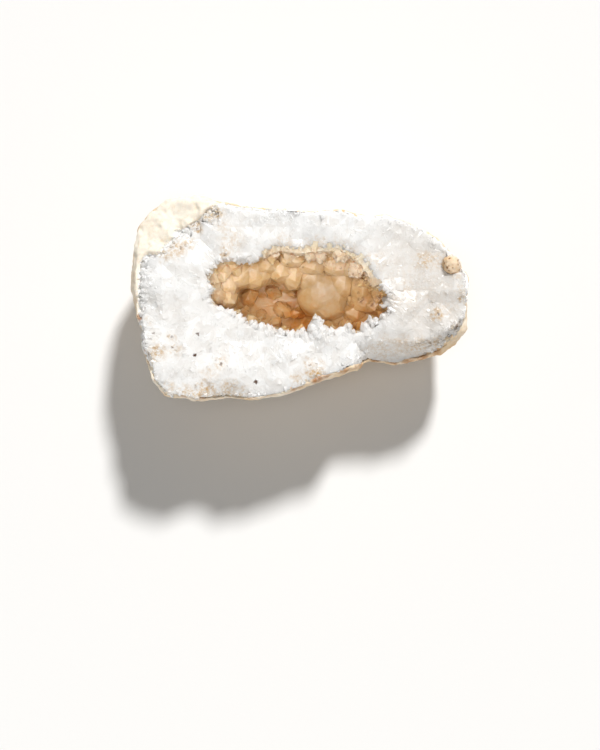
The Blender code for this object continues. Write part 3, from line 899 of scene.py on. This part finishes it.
def honeyQuartz():
    # clear quartz crystals, grown free: flat glassy faces, iron film that makes them honey to amber; the deeper amber
    # and the grey patches are partly painted shade
    material, tree = newMaterial("honey quartz crystals, as grown")
    place = addNode(tree, "TexCoord").outputs["Object"]
    # iron tint, darkened with depth as painted shade
    tint = addNode(tree, "Attribute", attribute_name="ironTintAndShade").outputs["Fac"]
    film = addNode(tree, "TexNoise", {"Vector": place, "Scale": 1 / (2.4 * mm), "Detail": 5.0, "Roughness": 0.7})
    patchy = addNode(tree, "MapRange", {"Value": film.outputs[0], "To Min": -0.28, "To Max": 0.28}).outputs[0]
    share = addNode(tree, "Math", {0: tint, 1: patchy}, operation="ADD", use_clamp=True).outputs[0]
    ramp = addNode(tree, "ValToRGB", {0: share})
    stops = [(0.0, "colourRim"), (0.28, "colourPale"), (0.55, "colourHoney"), (0.8, "colourAmber"), (1.0, "colourBrown")]
    while len(ramp.color_ramp.elements) < len(stops):
        ramp.color_ramp.elements.new(0.5)
    for element, (position, colour) in zip(ramp.color_ramp.elements, stops):
        element.position = position
        element.color = linear(druse[colour])
    # painted shade: a grey multiply over the cluster and the right end
    greyShade = addNode(tree, "Attribute", attribute_name="greyShade").outputs["Fac"]
    greyShaded = mixed(tree, greyShade, ramp.outputs[0], linear(druse["colourGreyShade"]), "MULTIPLY")
    creep = addNode(tree, "TexNoise", {"Vector": place, "Scale": 1 / (0.9 * mm), "Detail": 4.0, "Roughness": 0.7})
    seams = addNode(tree, "MapRange", {"Value": creep.outputs[0], "From Min": 0.42, "From Max": 0.56}).outputs[0]
    rust = addNode(tree, "Math", {0: spotMask(tree, place, rustSpots, 0.3), 1: seams}, operation="MULTIPLY").outputs[0]
    colour = mixed(tree, rust, greyShaded, linear(druse["colourRust"]))
    facets = addNode(tree, "TexVoronoi", {"Vector": place, "Scale": 1 / (1.7 * mm)})
    bump = addNode(tree, "Bump", {"Height": facets.outputs[0], "Strength": 0.3, "Distance": 0.35 * mm})
    gloss = addNode(tree, "MapRange", {"Value": film.outputs[0], "To Min": 0.10, "To Max": 0.34}).outputs[0]
    shade = addNode(tree, "BsdfPrincipled", {
        "Base Color": colour, "Roughness": gloss, "IOR": 1.544, "Normal": bump.outputs[0],
        "Transmission Weight": 0.08, "Subsurface Weight": 0.85,
        "Subsurface Radius": (1.0, 0.92, 0.8), "Subsurface Scale": 1.6 * mm,
    })
    out = addNode(tree, "OutputMaterial")
    tree.links.new(shade.outputs[0], out.inputs[0])
    return material


def lightOnly(lamp, *pieces):
    takers = bpy.data.collections.new(lamp.name + "Takers")
    for piece in pieces:
        takers.objects.link(piece)
    lamp.light_linking.receiver_collection = takers


def buildDruse():
    lining = weldedCopy("crystal_crust", 0.05 * mm)
    for vertex in lining.verts:
        # the crust's edge ends under the quartz lip
        below = faceHeight - 2 * druse["rimDrop"] * mm
        if vertex.co.z > below:
            kept = 0.45 + 0.5 * softLip(vertex.co.x, vertex.co.y)
            vertex.co.z = below + (vertex.co.z - below) * kept
    mesh = fuse("honeyDruse", lining, growDruse())
    mesh.materials.clear()
    tintCrystals(mesh)
    crust = newObject("honeyDruse", mesh, honeyQuartz())
    mesh.shade_smooth()
    mesh.set_sharp_from_angle(angle=math.radians(18))
    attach(crust, "root")
    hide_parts("crystal_crust")
    lightOnly(addLamp("throughQuartz", *studio["throughQuartz"]), crust)
    print("druse ready")


buildDruse()


# ---- weathered rind


rind = {
    "voxel": 0.46 * mm,
    "lumps": [(9.0, 1.0), (4.2, 0.6)],           # size and height in mm of the rounded lumps
    "pits": (2.6, 0.45),
    "grit": (1.2, 0.24),
    "brokenSteps": (1.3, 0.45),
    "share": 0.62,                               # of the triangles that are kept at the end
    "colourCream": "#F0E9DB",
    "colourTan": "#D9B98C",
    "colourRust": "#AD7746",
    "colourCrevice": "#8A6040",
    "colourPitStainShade": "#8C5F36",
    "colourKnob": "#CF9F5C",
    "knobPits": (1.15, 0.55),
}


# brown and tan places on the rim of the rind: pixel, radius in mm, strength
rimStains = [
    (138, 317, 1.5, 1.0), (138, 324, 1.5, 1.0), (137, 331, 1.2, 0.8), (133, 252, 1.6, 0.6), (131, 262, 1.4, 0.6),
    (133, 300, 1.2, 0.4), (146, 350, 1.6, 0.9), (152, 355, 1.4, 0.8), (199, 402, 3.0, 0.8), (226, 402, 3.0, 0.8),
    (318, 380, 2.4, 0.9), (327, 377, 1.8, 0.7), (160, 223, 1.4, 0.4), (168, 387, 2.0, 0.6), (441, 353, 3.0, 0.9),
    (425, 358, 2.6, 0.8), (410, 362, 2.4, 0.8), (454, 342, 2.6, 0.9), (462, 330, 2.2, 0.7), (394, 365, 2.2, 0.7),
    (376, 361, 2.0, 0.7), (360, 368, 2.4, 0.7), (345, 373, 2.4, 0.8), (181, 399, 2.0, 0.6), (250, 403, 2.4, 0.6),
    (275, 400, 2.4, 0.5), (296, 389, 2.4, 0.6),
]


def rimStain(x, y, aboveBreak):
    # the strongest of the rim's stains at a place; they fade out a few mm below the break
    strongest = 0.0
    for u, v, radius, strength in rimStains:
        spotX, spotY = onFace(u, v)
        away = math.hypot(x - spotX, y - spotY, 0.7 * aboveBreak * mm) / (radius * mm)
        strongest = max(strongest, strength * ease(1.35 - away))
    return strongest


def roughenRind(mesh):
    # rounded chalky lumps, pits and grit on the outside; the hidden inside stays smooth
    inner = surfaces["quartz_wall"]
    heights = np.zeros(len(mesh.vertices), np.float32)
    whites = np.zeros(len(mesh.vertices), np.float32)
    litAndBleached = np.zeros(len(mesh.vertices), np.float32)
    stained = np.zeros(len(mesh.vertices), np.float32)
    normals = [v.normal.copy() for v in mesh.vertices]
    for vertex, normal in zip(mesh.vertices, normals):
        p = vertex.co
        nearest, _, _, distance = inner.find_nearest(p)
        outside = max(ease((distance / mm - 0.7) / 0.6), ease((p - nearest).dot(normal) / (0.6 * mm)))
        aboveBreak = (p.z - breakHeight(p.x, p.y)) / mm
        if -6 < aboveBreak < 2:
            stained[vertex.index] = rimStain(p.x, p.y, aboveBreak)
        cut = ease((normal.z + 0.1) / 0.35) * ease(aboveBreak / 2 + 2.6)
        seam = cut * (1 - whiteSector(p.x, p.y)) * ease((1.8 * mm - distance) / mm)
        p.z += 0.35 * mm * seam                   # closes over the quartz where the rind frames it
        whites[vertex.index] = cut * whiteSector(p.x, p.y) * (1 - 0.9 * rimShows(p.x, p.y))
        sunk = cut * whiteSector(p.x, p.y) * ease((outlineReach(p.x, p.y) / mm - 0.3 * rimShows(p.x, p.y)) / 0.4)
        p.z -= 0.9 * mm * ease(1.6 * sunk)       # just under the quartz that runs out over it
        # paler on top and on upward faces, tanner down the flanks: partly bleaching, partly painted light and shade
        litAndBleached[vertex.index] = ease((normal.z + 0.1) / 0.6) * ease((p.z - faceHeight) / (6 * mm) + 2.2)
        litAndBleached[vertex.index] *= 1 - 0.8 * rimShows(p.x, p.y)
        outside *= 1 - 0.5 * whites[vertex.index]
        if outside <= 0:
            continue
        height = 0.0
        for size, high in rind["lumps"]:
            near = noise.voronoi(p / (size * mm))[0][0]
            height += high * (0.4 - near * near)
        size, deep = rind["pits"]
        near = noise.voronoi(p / (size * mm) + Vector((7, 3, 1)))[0][0]
        height -= deep * max(0.0, 1 - near / 0.35)
        size, high = rind["grit"]
        height += high * noise.noise(p / (size * mm))
        knobReach = (Vector((p.x, p.y)) - Vector(onFace(*quartz["knob"]))).length
        if knobReach < 3.6 * mm and p.z > faceHeight - 4 * mm:
            size, deep = rind["knobPits"]
            near = noise.voronoi(p / (size * mm))[0][0]
            height = -deep * max(0.0, 1 - near / 0.42) + 0.25 * noise.noise(p / (0.7 * mm))
            outside = 1.0
        if whites[vertex.index] > 0.3:
            # broken quartz that clings to the rind: small flat steps
            grain = noise.voronoi(p / (rind["brokenSteps"][0] * mm))[1][0]
            height, outside = rind["brokenSteps"][1] * (noise.cell(grain * 17) - 0.2), 1.0
        height = max(height, 0.5 - distance / mm)    # never down to the quartz
        heights[vertex.index] = height * outside
        vertex.co = p + normal * (height * outside * mm)
        vertex.co.z = max(vertex.co.z, 0.0)          # it rests on the paper
    for name, values in (("lumpHeight", heights), ("whiteQuartz", whites), ("litAndBleached", litAndBleached), ("rimStain", stained)):
        layer = mesh.attributes.new(name, "FLOAT", "POINT")
        layer.data.foreach_set("value", values)


def weatheredRind():
    # weathered chalcedony and limestone skin: chalky, cream on the lumps, tan and rust in the hollows, paler on top and
    # tanner on the flanks partly as painted light and shade
    material, tree = newMaterial("weathered rind, chalky")
    place = addNode(tree, "TexCoord").outputs["Object"]
    height = addNode(tree, "Attribute", attribute_name="lumpHeight").outputs["Fac"]
    low = addNode(tree, "MapRange", {"Value": height, "From Min": -0.55, "From Max": 0.25, "To Min": 1.0, "To Max": 0.0}).outputs[0]
    patches = addNode(tree, "TexNoise", {"Vector": place, "Scale": 1 / (13 * mm), "Detail": 6.0, "Roughness": 0.65})
    patchy = addNode(tree, "MapRange", {"Value": patches.outputs[0], "From Min": 0.32, "From Max": 0.60}).outputs[0]
    litAndBleached = addNode(tree, "Attribute", attribute_name="litAndBleached").outputs["Fac"]
    # the lit, bleached top keeps the cream; tan, rust and crevice colour go to the flanks, partly as painted shade
    shadedAndUnbleached = addNode(tree, "MapRange", {"Value": litAndBleached, "To Min": 1.0, "To Max": 0.1}).outputs[0]
    patchy = addNode(tree, "Math", {0: patchy, 1: shadedAndUnbleached}, operation="MULTIPLY").outputs[0]
    low = addNode(tree, "Math", {0: low, 1: shadedAndUnbleached}, operation="MULTIPLY").outputs[0]
    colour = mixed(tree, patchy, linear(rind["colourCream"]), linear(rind["colourTan"]))
    fine = addNode(tree, "TexNoise", {"Vector": place, "Scale": 1 / (1.6 * mm), "Detail": 6.0, "Roughness": 0.75})
    mottled = addNode(tree, "MapRange", {"Value": fine.outputs[0], "From Min": 0.5, "From Max": 0.75, "To Max": 0.55}).outputs[0]
    colour = mixed(tree, mottled, colour, linear(rind["colourTan"]))
    rusty = addNode(tree, "Math", {0: low, 1: fine.outputs[0]}, operation="MULTIPLY").outputs[0]
    rusty = addNode(tree, "MapRange", {"Value": rusty, "From Min": 0.18, "From Max": 0.62, "To Max": 0.9}).outputs[0]
    colour = mixed(tree, rusty, colour, linear(rind["colourRust"]))
    deep = addNode(tree, "MapRange", {"Value": height, "From Min": -0.85, "From Max": -0.45, "To Min": 0.8, "To Max": 0.0}).outputs[0]
    deep = addNode(tree, "Math", {0: deep, 1: shadedAndUnbleached}, operation="MULTIPLY").outputs[0]
    colour = mixed(tree, deep, colour, linear(rind["colourCrevice"]))
    white = addNode(tree, "Attribute", attribute_name="whiteQuartz").outputs["Fac"]
    ragged = addNode(tree, "Math", {0: white, 1: fine.outputs[0]}, operation="ADD").outputs[0]
    quartzy = addNode(tree, "MapRange", {"Value": ragged, "From Min": 0.85, "From Max": 1.05}).outputs[0]
    colour = mixed(tree, quartzy, colour, linear(quartz["colourMilky"]))
    grit = addNode(tree, "TexNoise", {"Vector": place, "Scale": 1 / (0.45 * mm), "Detail": 5.0, "Roughness": 0.8})
    height = addNode(tree, "SeparateXYZ", {0: place}).outputs[2]
    top = addNode(tree, "MapRange", {"Value": height, "From Min": faceHeight - 4.5 * mm, "From Max": faceHeight - 3 * mm})
    stains = addNode(tree, "Attribute", attribute_name="rimStain").outputs["Fac"]
    blotched = addNode(tree, "Math", {0: stains, 1: fine.outputs[0]}, operation="MULTIPLY").outputs[0]
    blotched = addNode(tree, "MapRange", {"Value": blotched, "From Min": 0.1, "From Max": 0.5, "To Max": 0.9}).outputs[0]
    colour = mixed(tree, blotched, colour, linear(rind["colourRust"]))
    knob = spotMask(tree, place, [(*quartz["knob"], 3.4, 1.0)], 0.8)
    knob = addNode(tree, "Math", {0: knob, 1: top.outputs[0]}, operation="MULTIPLY").outputs[0]
    # dark pits on the knob: brown stain, and painted shade in pits too fine for the mesh to show
    holes = addNode(tree, "TexVoronoi", {"Vector": place, "Scale": 1 / (1.3 * mm)})
    pitStainShade = addNode(tree, "MapRange", {"Value": holes.outputs[0], "From Min": 0.22, "From Max": 0.42, "To Min": 0.9, "To Max": 0.0}).outputs[0]
    pitStainShade = addNode(tree, "Math", {0: pitStainShade, 1: knob}, operation="MULTIPLY").outputs[0]
    tanned = addNode(tree, "Math", {0: knob, 1: fine.outputs[0]}, operation="MULTIPLY").outputs[0]
    colour = mixed(tree, tanned, colour, linear(rind["colourKnob"]))
    colour = mixed(tree, pitStainShade, colour, linear(rind["colourPitStainShade"]))
    bump = addNode(tree, "Bump", {"Height": grit.outputs[0], "Strength": 0.5, "Distance": 0.18 * mm})
    shade = addNode(tree, "BsdfPrincipled", {
        "Base Color": colour, "Roughness": 0.88, "IOR": 1.5, "Specular IOR Level": 0.3, "Normal": bump.outputs[0],
        "Subsurface Weight": 0.12, "Subsurface Radius": (1.0, 0.7, 0.45), "Subsurface Scale": 0.8 * mm,
    })
    out = addNode(tree, "OutputMaterial")
    tree.links.new(shade.outputs[0], out.inputs[0])
    return material


def buildRind():
    mesh = bpy.data.meshes.new("rindSkin")
    bm = weldedCopy("rind", 0.12 * mm)
    bm.to_mesh(mesh)
    bm.free()
    raw = newObject("rindRaw", mesh)
    remesh = raw.modifiers.new("remesh", "REMESH")
    remesh.mode = "VOXEL"
    remesh.voxel_size = rind["voxel"]
    skin = bpy.data.meshes.new_from_object(raw.evaluated_get(bpy.context.evaluated_depsgraph_get()))
    bpy.data.objects.remove(raw)
    skin.materials.clear()
    roughenRind(skin)
    dense = newObject("rindDense", skin)
    thin = dense.modifiers.new("thin", "DECIMATE")
    thin.ratio = rind["share"]
    skin = bpy.data.meshes.new_from_object(dense.evaluated_get(bpy.context.evaluated_depsgraph_get()))
    bpy.data.objects.remove(dense)
    skin.name = "rindSkin"
    keepLargestShell(skin)
    piece = newObject("rindSkin", skin, weatheredRind())
    white = [entry.value > 0.4 for entry in skin.attributes["whiteQuartz"].data]
    for polygon in skin.polygons:
        polygon.use_smooth = not white[polygon.vertices[0]]      # flat facets where quartz clings to it
    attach(piece, "root")
    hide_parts("rind")
    print("rind ready:", len(skin.polygons), "faces")


buildRind()
stone = [bpy.data.objects["quartzBody"], bpy.data.objects["rindSkin"]]
lightOnly(bpy.data.objects["key"], bpy.data.objects["paperFloor"], *stone)
lightOnly(addLamp("card", *studio["card"]), *stone)
